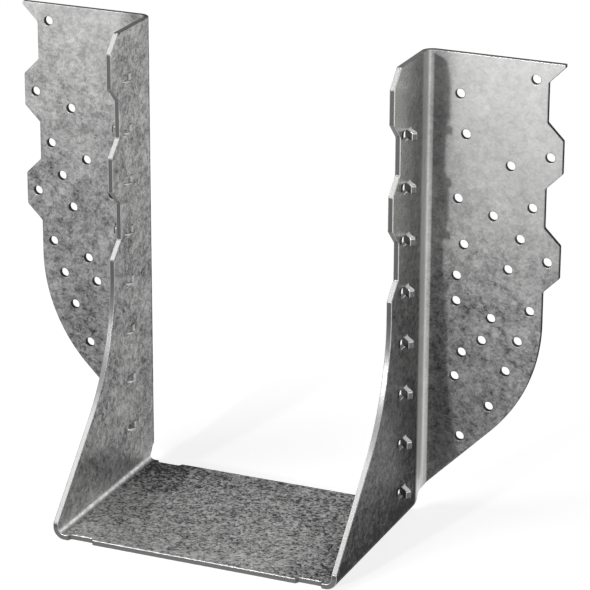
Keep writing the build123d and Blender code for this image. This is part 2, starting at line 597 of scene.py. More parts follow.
@dataclass(frozen=True)
class PaintedEdgeLight:
    """Painted highlights and painted shade on the cut edges and the tabs, chosen by which way each vertex
    faces, with the other numbers that the finish reads.

    A pair (left, right) is for the two halves of the sheet. The other pairs are ranges over which a part of
    the normal brings a painted highlight or shade in. The other numbers are how much of it there is.
    """

    forward: Range = (0.0, 0.5)
    leaning: Range = (0.0, 0.5)
    sideways: Range = (0.25, 0.75)
    sloping: Range = (0.82, 0.945)
    flat_from: float = 0.9
    rounding_zinc: Range = (0.45, 0.65)
    slope_zinc: Range = (0.2, 0.3)
    overhang_gain: float = 1.7
    flat_top_zinc: Range = (0.18, 0.28)
    seat_rim_zinc: float = 0.1
    tab_end_zinc: Range = (0.15, 1.0)
    tab_cut_zinc: float = 0.1
    tab_cut_from: float = 0.5
    upward_from: float = 0.3
    upward_zinc: float = 0.3
    open_slot_length: float = 5.0
    hinge_part: float = 0.7
    hinge_zinc: float = 0.8
    hole_bare: float = 0.8

    def edge_highlight(self, folds: Folds, s: Array, t: Array, normals: Array, cut: Array, rim: Array) -> Array:
        """Painted highlights along the outline.

        They lie on the roundings of the walls that face forwards, and on the sheared face where that slopes
        or is flat on top, and at the seat's front. The slope is how far a normal agrees with the direction
        halfway between forwards and up or down.

        Args:
            folds: The folds of the sheet.
            s: Places along the U of the flat sheet.
            t: Places towards the header.
            normals: Unit normals.
            cut: How much of each vertex is sheared steel.
            rim: How far each vertex belongs to a rim.

        Returns:
            How much painted highlight there is, from 0 to 1.
        """
        on_wall = t < folds.fold_y
        forward = rising(-normals[:, 1], *self.forward)
        rounding = rim * (1.0 - cut) * forward * on_wall * by_side(s, self.rounding_zinc)
        slope = rising((np.abs(normals[:, 2]) - normals[:, 1]) / np.sqrt(2.0), *self.sloping)
        slope = slope * by_side(s, self.slope_zinc) * np.where(normals[:, 2] < 0, self.overhang_gain, 1.0)
        flat_top = (normals[:, 2] > self.flat_from) * by_side(s, self.flat_top_zinc)
        seat_rim = forward * (np.abs(s) < folds.wall_s) * self.seat_rim_zinc
        sheared = cut * np.maximum(np.maximum(slope, flat_top) * on_wall, seat_rim)
        return np.maximum(rounding, sheared)

    def tab_zinc(self, folds: Folds, s: Array, t: Array, normals: Array, cut: Array, rim: Array) -> Array:
        """Painted highlights round the tabs, on their free ends and on what faces up.

        What faces up is bright all over on the right wall's tabs and on the open end of the left wall's
        slots, and less so elsewhere.

        Args:
            folds: The folds of the sheet.
            s: Places along the U of the flat sheet.
            t: Places towards the header.
            normals: Unit normals.
            cut: How much of each vertex is sheared steel.
            rim: How far each vertex belongs to a rim.

        Returns:
            How much painted highlight there is, from 0 to 1.
        """
        forward = rising(-normals[:, 1], *self.forward)
        end = np.where(cut > self.tab_cut_from, self.tab_cut_zinc, by_side(s, self.tab_end_zinc))
        open_slot = (s < 0) & (t > folds.hinge_y - self.open_slot_length)
        bright = folds.on_tab(s, t) & (s > 0) | open_slot
        upward = (normals[:, 2] > self.upward_from) * rim * np.where(bright, 1.0, self.upward_zinc)
        return np.maximum(upward, rim * forward * end)

    def attributes(
        self,
        folds: Folds,
        flat: Array,
        normals: Array,
        cut: Array,
        out_part: Array,
        kinds: Indices,
    ) -> dict[str, Array]:
        """Numbers from 0 to 1 at every vertex, which the finish reads.

        The cut edges get painted shade where they face sideways, and in the nail holes. The hinge of each
        tab gets a painted highlight on the pocket's side, and the rest of that side gets painted shade on
        the right wall's tabs.

        Args:
            folds: The folds of the sheet.
            flat: Places (s, t, w) of the vertices on the flat sheet.
            normals: Unit normal of each vertex.
            cut: How much of each vertex is sheared steel.
            out_part: How far each vertex's normal leans out of the sheet's edge.
            kinds: Number of the kind of edge that each vertex lies on.

        Returns:
            The numbers, by the attribute's name.
        """
        s, t, w = flat[:, 0], flat[:, 1], flat[:, 2]
        in_slit, in_hole = kinds == Rim.SLIT.value, kinds == Rim.HOLE.value
        rim = rising(out_part, *self.leaning)
        # zinc is the amount of painted highlight at each vertex
        zinc = np.where(
            in_slit,
            self.tab_zinc(folds, s, t, normals, cut, rim),
            self.edge_highlight(folds, s, t, normals, cut, rim),
        )
        pocket_side = folds.on_tab(s, t) & (w < folds.thickness / 2)
        bend = folds.guides.bend_angle * (folds.guides.bend_radius + folds.thickness / 2)
        hinge = pocket_side & (folds.hinge_y - t < self.hinge_part * bend) & ~in_slit
        zinc = np.where(hinge, self.hinge_zinc, zinc)
        aside = rising(np.abs(normals[:, 0]), *self.sideways) * (1.0 - rising(-normals[:, 1], *self.forward))
        return {
            "cut_edge": cut,
            "edge_highlight": np.where(in_hole, 0.0, zinc),
            # Painted shade on cut edges that face sideways and in the nail holes
            "edge_shade_share": np.where(in_hole, cut * self.hole_bare, rim * aside * ~in_slit),
            # Painted shade on the pocket side of the right wall's tabs
            "tab_shade": pocket_side * (s > 0) * (1.0 - cut),
            "seat_share": 1.0 - rising(np.abs(s), folds.seat_half, folds.wall_s),
            "flange_share": rising(t, folds.fold_y, folds.flange_t),
            "outer_side": w / folds.thickness,
        }


@dataclass
class Hanger:
    """The folded sheet of the joist hanger, as one closed mesh."""

    folds: Folds
    front_y: float
    wall: WallEdge = field(default_factory=WallEdge)
    flange: FlangeEdge = field(default_factory=FlangeEdge)
    seat: SeatEdge = field(default_factory=SeatEdge)
    holes: NailHoles = field(default_factory=NailHoles)
    rim: CutRim = field(default_factory=CutRim)
    step: float = 1.0
    row_step: float = 2.0
    bend_rows: int = 8
    tab_columns: int = 5
    grid_step: float = 8.0
    keep_off: float = 0.5
    rolled_from: float = 0.4
    tab_roll: Range = (0.8, -2.0)
    slot_roll: Range = (-1.3, -2.1)
    wear: PaintedEdgeLight = field(default_factory=PaintedEdgeLight)

    def outline(self) -> Array:
        """The outer edge of the flat sheet, anticlockwise.

        The right half is worked out from the seat's front edge round to its back edge, and the left
        half is the same in reverse with s turned round.

        Returns:
            The points, one (s, t) per row.
        """
        half = self.seat.relief(self.front_y, 1.0)
        half += self.wall.corners(self.folds, self.front_y)
        half += self.flange.corners(self.folds)
        half += self.seat.back_corners(self.folds)
        other = [(-s, t, radius) for s, t, radius in reversed(half)]
        return polyline_arcs(half + other, self.step)

    def slits(self, side: Side) -> list[Array]:
        """The cuts round the tabs of one wall.

        Args:
            side: Which wall.

        Returns:
            One closed outline per tab.
        """
        guides = self.folds.guides
        shape = polyline_arcs(guides.slit(), self.step / 2)
        found = []
        for drop in guides.drops(side):
            s = side.value * (self.folds.s_at(self.folds.top - drop) + shape[:, 0])
            found.append(np.stack([s, self.folds.hinge_y - shape[:, 1]], axis=1))
        return found

    def edges(self) -> list[tuple[Rim, Array]]:
        """Every edge of the flat sheet, with the material on its left.

        Returns:
            The kind of each edge and its closed outline.
        """
        found = [(Rim.OUTLINE, self.outline())]
        for side in Side:
            found += [(Rim.HOLE, loop) for loop in self.holes.loops(self.folds, side)]
            found += [(Rim.SLIT, loop) for loop in self.slits(side)]
        turned = []
        for kind, loop in found:
            anticlockwise = signed_area(loop) > 0
            turned.append((kind, loop if anticlockwise == (kind is Rim.OUTLINE) else loop[::-1]))
        return turned

    def inner_points(self, loops: list[Array]) -> Array:
        """Points between the edges: rows across every bend, and a coarse grid elsewhere.

        Args:
            loops: Edges of the two flat faces.

        Returns:
            The points that lie clear of every edge, one (s, t) per row.
        """
        folds = self.folds
        share = np.linspace(0.0, 1.0, self.bend_rows + 1)
        seat_t = np.arange(self.front_y, folds.fold_y, self.row_step)
        seat_s = folds.seat_half + share * (folds.wall_s - folds.seat_half)
        fold_s = np.arange(folds.s_at(self.flange.fold_foot), folds.s_at(folds.top), self.row_step)
        fold_t = folds.fold_y + share * (folds.flange_t - folds.fold_y)
        rows = [(seat_s, seat_t), (fold_s, fold_t)]
        turn = folds.guides.bend_radius + folds.thickness / 2
        bend = np.linspace(0.0, 1.0, folds.guides.bend_rows + 1) * folds.guides.bend_angle * turn
        half = folds.guides.tab_height / 2 - self.rim.radius - self.keep_off
        across = np.linspace(-half, half, self.tab_columns)
        points = []
        for side in Side:
            pairs = list(rows)
            for drop in folds.guides.drops(side):
                pairs.append((folds.s_at(folds.top - drop) + across, folds.hinge_y - bend))
            for s, t in pairs:
                grid = np.stack(np.meshgrid(side.value * s, t, indexing="ij"), axis=-1)
                points.append(grid.reshape(-1, 2))
        reach = folds.s_at(folds.top)
        coarse = np.stack(np.meshgrid(
            np.arange(-reach, reach, self.grid_step),
            np.arange(self.front_y, folds.t_at(self.flange.crest), self.grid_step),
            indexing="ij",
        ), axis=-1).reshape(-1, 2)
        on_bend = np.abs(np.abs(coarse[:, 0]) - folds.seat_half - folds.seat_turn) < self.grid_step
        on_fold = np.abs(coarse[:, 1] - folds.fold_y - folds.fold_turn) < self.grid_step
        points.append(coarse[~(on_bend | on_fold)])
        found = np.concatenate(points)
        found = found[is_inside(found, loops)]
        edge = np.concatenate(loops)
        gap = np.hypot(found[:, None, 0] - edge[None, :, 0], found[:, None, 1] - edge[None, :, 1])
        return found[gap.min(axis=1) > self.keep_off]

    def face_triangles(self, loops: list[Array], inner: Array) -> Indices:
        """Triangles of a flat face between its edges.

        Args:
            loops: Edges of the face.
            inner: Points between them.

        Returns:
            Indices into the edges' points followed by the inner points, anticlockwise.
        """
        points = np.concatenate(loops + [inner])
        edges, start = [], 0
        for loop in loops:
            index = np.arange(len(loop))
            edges.append(np.stack([start + index, start + (index + 1) % len(loop)], axis=1))
            start += len(loop)
        vectors = [Vector(point) for point in points.tolist()]
        result = delaunay_2d_cdt(vectors, np.concatenate(edges).tolist(), [], 0, MERGE_DISTANCE)
        source = np.array([origin[0] for origin in result[3]])
        triangles = source[np.array(result[2])]
        corners = points[triangles]
        triangles = triangles[is_inside(corners.mean(axis=1), loops)]
        a, b, c = (points[triangles[:, k]] for k in range(3))
        area = (b[:, 0] - a[:, 0]) * (c[:, 1] - a[:, 1]) - (b[:, 1] - a[:, 1]) * (c[:, 0] - a[:, 0])
        triangles[area < 0] = triangles[area < 0][:, ::-1]
        return triangles[np.abs(area) > SLIVER_AREA]

    def build(self) -> bpy.types.Object:
        """Works out the whole sheet and folds it.

        Both faces share one set of triangles. Each edge carries the rim's section: a point of the
        edge, moved in by the section's inset, at the section's depth.

        Returns:
            The mesh object, in metres, with its custom normals, flat UV map and finish attributes.
        """
        edges = self.edges()
        loops = [loop for _, loop in edges]
        section, facing, sheared = self.rim.section(self.folds.thickness)
        inwards = [inward_normals(loop) for loop in loops]
        face_loops = [loop + self.rim.radius * normal for loop, normal in zip(loops, inwards)]
        inner = self.inner_points(face_loops)
        triangles = self.face_triangles(face_loops, inner)

        edge, inward = np.concatenate(loops), np.concatenate(inwards)
        count, depth = len(edge), len(section)
        ring = edge[:, None, :] + section[None, :, :1] * inward[:, None, :]
        ring_w = np.broadcast_to(section[None, :, 1:], (count, depth, 1))
        rim_flat = np.concatenate([ring, ring_w], axis=2).transpose(1, 0, 2).reshape(-1, 3)
        near = np.column_stack([inner, np.zeros(len(inner))])
        far = np.column_stack([inner, np.full(len(inner), self.folds.thickness)])
        flat = np.concatenate([rim_flat, near, far])

        outward = np.tile(-inward, (depth, 1))
        out_part = np.concatenate([np.repeat(facing[:, 0], count), np.zeros(2 * len(inner))])
        deep_part = np.concatenate([
            np.repeat(facing[:, 1], count), -np.ones(len(inner)), np.ones(len(inner)),
        ])
        cut = np.concatenate([np.repeat(sheared, count), np.zeros(2 * len(inner))])
        outward = np.concatenate([outward, np.zeros((2 * len(inner), 2))])
        normals = self.normals(flat, outward, out_part, deep_part)
        kinds = np.repeat([kind.value for kind, _ in edges], [len(loop) for loop in loops])
        kinds = np.concatenate([np.tile(kinds, depth), np.full(2 * len(inner), Rim.NONE.value)])
        normals = self.rolled(flat, normals, (kinds == Rim.SLIT.value) & (out_part > self.rolled_from))
        attributes = self.wear.attributes(self.folds, flat, normals, cut, out_part, kinds)

        quads = self.rim_quads(loops, depth)
        first = np.where(triangles < count, triangles, triangles - count + depth * count)
        last = np.where(
            triangles < count,
            triangles + (depth - 1) * count,
            triangles - count + depth * count + len(inner),
        )
        polygons = quads.tolist() + first.tolist() + last[:, ::-1].tolist()
        return self.to_object(flat, self.folds.place(flat), polygons, normals, attributes)

    def rolled(self, flat: Array, normals: Array, in_slit: Mask) -> Array:
        """Normals with the upward rims round the tabs rolled over, as the punch leaves them.

        A rim that faces up gains a sideways and a forward part, and is brought back to unit length.

        Args:
            flat: Places (s, t, w) of the vertices on the flat sheet.
            normals: Unit normal of each vertex.
            in_slit: Whether each vertex lies on the rim of a slit.

        Returns:
            The new unit normals.
        """
        upward = in_slit & (normals[:, 2] > self.rolled_from)
        on_tab = self.folds.on_tab(flat[:, 0], flat[:, 1])
        roll = np.where(on_tab[:, None], self.tab_roll, self.slot_roll) * upward[:, None]
        roll = np.column_stack([roll[:, 0] * np.sign(flat[:, 0]), roll[:, 1], np.zeros(len(flat))])
        turned = normals + roll
        return turned / np.linalg.norm(turned, axis=1, keepdims=True)

    def rim_quads(self, loops: list[Array], depth: int) -> Indices:
        """Quads of every rim, between neighbouring points of an edge and of the section.

        Args:
            loops: Every edge.
            depth: Number of points of the section.

        Returns:
            Four vertex indices per row.
        """
        starts = np.cumsum([0] + [len(loop) for loop in loops])
        total = starts[-1]
        here = np.arange(total)
        following = here + 1
        following[starts[1:] - 1] = starts[:-1]
        level = np.arange(depth - 1)[:, None] * total
        return np.stack([
            level + here, level + total + here, level + total + following, level + following,
        ], axis=2).reshape(-1, 4)

    def normals(self, flat: Array, outward: Array, out_part: Array, deep_part: Array) -> Array:
        """Exact normals of the folded sheet.

        A small step outwards in the sheet and a small step in depth are folded too. The normal is
        the sum of both directions, each by its part of the section's normal.

        Args:
            flat: Places (s, t, w) of the vertices.
            outward: Direction out of the material in the flat sheet, or zero on the faces.
            out_part: How far each normal leans outwards.
            deep_part: How far each normal leans along the depth.

        Returns:
            Unit normals in the frame.
        """
        small = 1e-3
        here = self.folds.place(flat)
        deep = self.folds.place(flat + np.array([0.0, 0.0, small])) - here
        aside = self.folds.place(flat + small * np.column_stack([outward, np.zeros(len(flat))])) - here
        deep /= np.linalg.norm(deep, axis=1, keepdims=True)
        length = np.linalg.norm(aside, axis=1, keepdims=True)
        aside = np.divide(aside, length, out=np.zeros_like(aside), where=length > 0)
        total = out_part[:, None] * aside + deep_part[:, None] * deep
        return total / np.linalg.norm(total, axis=1, keepdims=True)

    def to_object(
        self,
        flat: Array,
        places: Array,
        polygons: list[list[int]],
        normals: Array,
        attributes: dict[str, Array],
    ) -> bpy.types.Object:
        """Puts the arrays into a mesh object.

        Args:
            flat: Places (s, t, w) of the vertices on the flat sheet.
            places: Places of the vertices in the frame, in millimetres.
            polygons: Vertex indices of each face.
            normals: Unit normal of each vertex.
            attributes: Numbers of each vertex, by name.

        Returns:
            The object, linked to the scene.
        """
        mesh = bpy.data.meshes.new("folded_sheet")
        mesh.from_pydata((places * MILLIMETRE).tolist(), [], polygons)
        corner = np.empty(len(mesh.loops), dtype=np.int32)
        mesh.loops.foreach_get("vertex_index", corner)
        layer = mesh.uv_layers.new(name=FLAT_MAP)
        layer.uv.foreach_set("vector", (flat[corner, :2] * MILLIMETRE).astype(np.float32).ravel())
        for name, values in attributes.items():
            made = mesh.attributes.new(name, "FLOAT", "POINT")
            made.data.foreach_set("value", values.astype(np.float32))
        mesh.shade_smooth()
        mesh.validate()
        mesh.normals_split_custom_set_from_vertices(normals.tolist())
        piece = bpy.data.objects.new("folded_sheet", mesh)
        bpy.context.scene.collection.objects.link(piece)
        return piece

    def dress(self, piece: bpy.types.Object, finish: "GalvanisedFinish") -> None:
        """Gives the sheet its finish, hides the node that it stands for and hangs the sheet under the root
        body.

        Args:
            piece: The sheet's object.
            finish: The finish of its material.
        """
        piece.data.materials.append(finish.material())
        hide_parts(NODE)
        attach(piece, "root")
        mesh = piece.data
        LOG.info("%s: %d vertices, %d faces", piece.name, len(mesh.vertices), len(mesh.polygons))


class Value:
    """A number or vector socket on which Python's arithmetic adds Math nodes."""

    def __init__(self, shader: "Shader", socket: bpy.types.NodeSocket) -> None:
        """Wraps one output socket of a shader's node tree."""
        self.shader = shader
        self.socket = socket

    def __add__(self, other: "Value | float") -> "Value":
        """This value plus another."""
        return self.shader.math("ADD", self, other)

    def __radd__(self, other: float) -> "Value":
        """A number plus this value."""
        return self.shader.math("ADD", other, self)

    def __sub__(self, other: "Value | float") -> "Value":
        """This value less another."""
        return self.shader.math("SUBTRACT", self, other)

    def __rsub__(self, other: float) -> "Value":
        """A number less this value."""
        return self.shader.math("SUBTRACT", other, self)

    def __mul__(self, other: "Value | float") -> "Value":
        """This value times another."""
        return self.shader.math("MULTIPLY", self, other)

    def __rmul__(self, other: float) -> "Value":
        """A number times this value."""
        return self.shader.math("MULTIPLY", other, self)

    def __truediv__(self, other: float) -> "Value":
        """This value divided by a number."""
        return self * (1.0 / other)

    def __abs__(self) -> "Value":
        """This value without its sign."""
        return self.shader.math("ABSOLUTE", self)

    def clamped(self) -> "Value":
        """This value kept between 0 and 1."""
        return self.shader.math("ADD", self, 0.0, clamp=True)

    def folded(self, length: float) -> "Value":
        """This value turned back and forth between 0 and a length."""
        return self.shader.math("PINGPONG", self, length)

    def ramp(self, low: float, high: float) -> "Value":
        """0 up to the low value, 1 from the high value, and smooth between them.

        Args:
            low: Where the result leaves 0.
            high: Where it reaches 1.

        Returns:
            The result.
        """
        settings = {"interpolation_type": "SMOOTHSTEP"}
        inputs = {"Value": self, "From Min": low, "From Max": high}
        return self.shader.value("ShaderNodeMapRange", settings, inputs)


class Shader:
    """The node tree of a material or of the world."""

    def __init__(self, owner: bpy.types.Material | bpy.types.World) -> None:
        """Starts an empty tree.

        Args:
            owner: The material or world that the tree belongs to.
        """
        owner.use_nodes = True
        self.tree = owner.node_tree
        self.tree.nodes.clear()

    def node(
        self,
        kind: str,
        settings: dict[str, object] | None = None,
        inputs: dict[str | int, object] | None = None,
    ) -> bpy.types.Node:
        """Adds one node.

        Args:
            kind: The node's type.
            settings: The node's own settings, set before its sockets.
            inputs: Values or wrapped sockets, by the name or number of the input.

        Returns:
            The node.
        """
        made = self.tree.nodes.new(kind)
        for name, value in (settings or {}).items():
            setattr(made, name, value)
        for name, value in (inputs or {}).items():
            if isinstance(value, Value):
                self.tree.links.new(value.socket, made.inputs[name])
            else:
                made.inputs[name].default_value = value
        return made

    def value(
        self,
        kind: str,
        settings: dict[str, object] | None = None,
        inputs: dict[str | int, object] | None = None,
        output: str | int = 0,
    ) -> Value:
        """Adds one node, as the method above, and wraps its output of this name or number."""
        return Value(self, self.node(kind, settings, inputs).outputs[output])

    def math(self, operation: str, *terms: Value | float, clamp: bool = False) -> Value:
        """Adds a Math node for the terms, whose result is kept between 0 and 1 where it is clamped."""
        settings = {"operation": operation, "use_clamp": clamp}
        return self.value("ShaderNodeMath", settings, dict(enumerate(terms)))

    def attribute(self, name: str) -> Value:
        """A number that the mesh carries under this name."""
        return self.value("ShaderNodeAttribute", {"attribute_name": name}, output="Fac")

    def axis(self, place: Value, name: str) -> Value:
        """One coordinate of a place."""
        return self.value("ShaderNodeSeparateXYZ", None, {"Vector": place}, name)

    def cells(self, place: Value, count: float) -> Value:
        """One random number from 0 to 1 for each crystal.

        Args:
            place: Place on the object.
            count: Number of crystals to a metre.

        Returns:
            The number of the crystal at that place.
        """
        inputs = {"Vector": place, "Scale": count}
        colour = self.value("ShaderNodeTexVoronoi", {"voronoi_dimensions": "3D"}, inputs, "Color")
        return self.value("ShaderNodeSeparateColor", None, {"Color": colour}, "Red")

    def blend(self, share: Value, first: Colour | Value, second: Colour | Value) -> Value:
        """A colour between two others.

        Args:
            share: 0 for the first colour, 1 for the second.
            first: One colour.
            second: The other colour.

        Returns:
            The mixed colour.
        """
        ends = [end if isinstance(end, Value) else (*end, 1.0) for end in (first, second)]
        inputs = {MIX_SHARE: share, MIX_FIRST: ends[0], MIX_SECOND: ends[1]}
        return self.value("ShaderNodeMix", {"data_type": "RGBA"}, inputs, MIX_RESULT)

    def surface(self, shader: Value, kind: str = "ShaderNodeOutputMaterial") -> None:
        """Adds the output node and sends a shader to its surface."""
        self.node(kind, None, {"Surface": shader})


@dataclass(frozen=True)
class Reading:
    """What the finish reads at each place of the sheet.

    across, depth and height are the place's own coordinates in metres. seat, wall and flange are how
    far it belongs to each part, pocket and outer how near it lies to each side of the sheet, and
    along_u and along_t are its places on the flat sheet, in metres too.
    """

    shader: Shader
    place: Value
    across: Value
    depth: Value
    height: Value
    seat: Value
    wall: Value
    flange: Value
    pocket: Value
    outer: Value
    along_u: Value
    along_t: Value

    @classmethod
    def of(cls, shader: Shader) -> "Reading":
        """Adds the nodes that read the sheet.

        Args:
            shader: The material's tree.

        Returns:
            What they read.
        """
        place = shader.value("ShaderNodeTexCoord", output="Object")
        flat = shader.value("ShaderNodeUVMap", {"uv_map": FLAT_MAP})
        seat, flange = shader.attribute("seat_share"), shader.attribute("flange_share")
        outer = shader.attribute("outer_side")
        return cls(
            shader,
            place,
            across=shader.axis(place, "X"),
            depth=shader.axis(place, "Y"),
            height=shader.axis(place, "Z"),
            seat=seat,
            wall=1.0 - seat - flange,
            flange=flange,
            pocket=1.0 - outer,
            outer=outer,
            along_u=shader.axis(flat, "X"),
            along_t=shader.axis(flat, "Y"),
        )


@dataclass(frozen=True)
class Span:
    """A stretch along one direction, 1 inside it and 0 outside, which fades in and out smoothly."""

    fade_in: Range | None = None
    fade_out: Range | None = None

    def share(self, value: Value) -> Value:
        """How far a value lies in the stretch.

        Args:
            value: The value, such as a height.

        Returns:
            A number from 0 to 1.
        """
        if self.fade_in is None:
            return 1.0 - value.ramp(*self.fade_out)
        inside = value.ramp(*self.fade_in)
        return inside if self.fade_out is None else inside * (1.0 - value.ramp(*self.fade_out))


@dataclass(frozen=True)
class Clouds:
    """Cloudy unevenness about zero, with this many lumps to a metre."""

    count: float
    detail: float
    roughness: float

    def tone(self, sheet: Reading) -> Value:
        """Works the noise out, less one half.

        Args:
            sheet: What the finish reads.

        Returns:
            The tone, about zero.
        """
        inputs = {
            "Vector": sheet.place, "Scale": self.count, "Detail": self.detail, "Roughness": self.roughness,
        }
        return sheet.shader.value("ShaderNodeTexNoise", {"noise_dimensions": "3D"}, inputs, "Fac") - 0.5


@dataclass(frozen=True)
class Pattern:
    """How strongly each layer of the zinc's pattern shows on one part of the sheet."""

    fine: float = 0.0
    coarse: float = 0.0
    grain: float = 0.0
    soft: float = 0.0
    cloud: float = 0.0
    flake: float = 0.0
    speck: float = 0.0

    def mix(self, layers: dict[str, Value]) -> Value:
        """Adds up the tones of the named layers that show, each times its strength."""
        return reduce(add, [layers[name] * shown for name, shown in asdict(self).items() if shown])


@dataclass(frozen=True)
class Spangle:
    """Tones of the zinc's crystals.

    Cells of one and of two and a half millimetres, each with a tone of its own, are mixed with
    cloudy noise. The seat is fine and rough, the walls are coarser, and the flanges are soft with
    pale flakes and a few dark specks, and grow calm towards the top on the right. The outer side is
    smoother low on the walls. Counts are to a metre.
    """

    fine_count: float = 900.0
    coarse_count: float = 400.0
    flake_count: float = 230.0
    flake_range: Range = (0.85, 0.95)
    grain: Clouds = Clouds(1300.0, 2.0, 0.6)
    soft: Clouds = Clouds(230.0, 4.0, 0.6)
    cloud: Clouds = Clouds(60.0, 3.0, 0.5)
    speck_grain: float = 0.7
    speck_range: Range = (0.16, 0.3)
    on_seat: Pattern = Pattern(fine=1.0, coarse=0.42, grain=1.8, cloud=0.6)
    on_wall: Pattern = Pattern(fine=0.4, coarse=0.42, grain=1.1, cloud=0.9)
    on_flange: Pattern = Pattern(fine=0.3, grain=0.65, soft=1.1, cloud=0.7, flake=0.12, speck=-0.5)
    flange_contrast: float = 0.9
    calm_across: float = 4.0
    calm_up: float = 10.0
    calm_range: Range = (1.4, 2.25)
    calm_loss: float = 0.5
    smooth_foot: Span = Span(fade_out=(0.02, 0.11))
    smooth_loss: float = 0.55

    def tone(self, sheet: Reading) -> Value:
        """Works out the brightness of the crystals.

        Args:
            sheet: What the finish reads.

        Returns:
            The tone, about one half.
        """
        shader, place = sheet.shader, sheet.place
        grain, soft = self.grain.tone(sheet), self.soft.tone(sheet)
        layers = {
            "fine": shader.cells(place, self.fine_count) - 0.5,
            "coarse": shader.cells(place, self.coarse_count) - 0.5,
            "grain": grain,
            "soft": soft,
            "cloud": self.cloud.tone(sheet),
            "flake": shader.cells(place, self.flake_count).ramp(*self.flake_range),
            "speck": (soft + grain * self.speck_grain).ramp(*self.speck_range),
        }
        calm = (sheet.across * self.calm_across + sheet.height * self.calm_up).ramp(*self.calm_range)
        smooth = self.smooth_foot.share(sheet.height) * sheet.outer
        on_flange = self.on_flange.mix(layers) * (self.flange_contrast - calm * self.calm_loss)
        on_wall = self.on_wall.mix(layers) * (1.0 - smooth * self.smooth_loss)
        return self.on_seat.mix(layers) * sheet.seat + on_flange * sheet.flange + on_wall * sheet.wall + 0.5


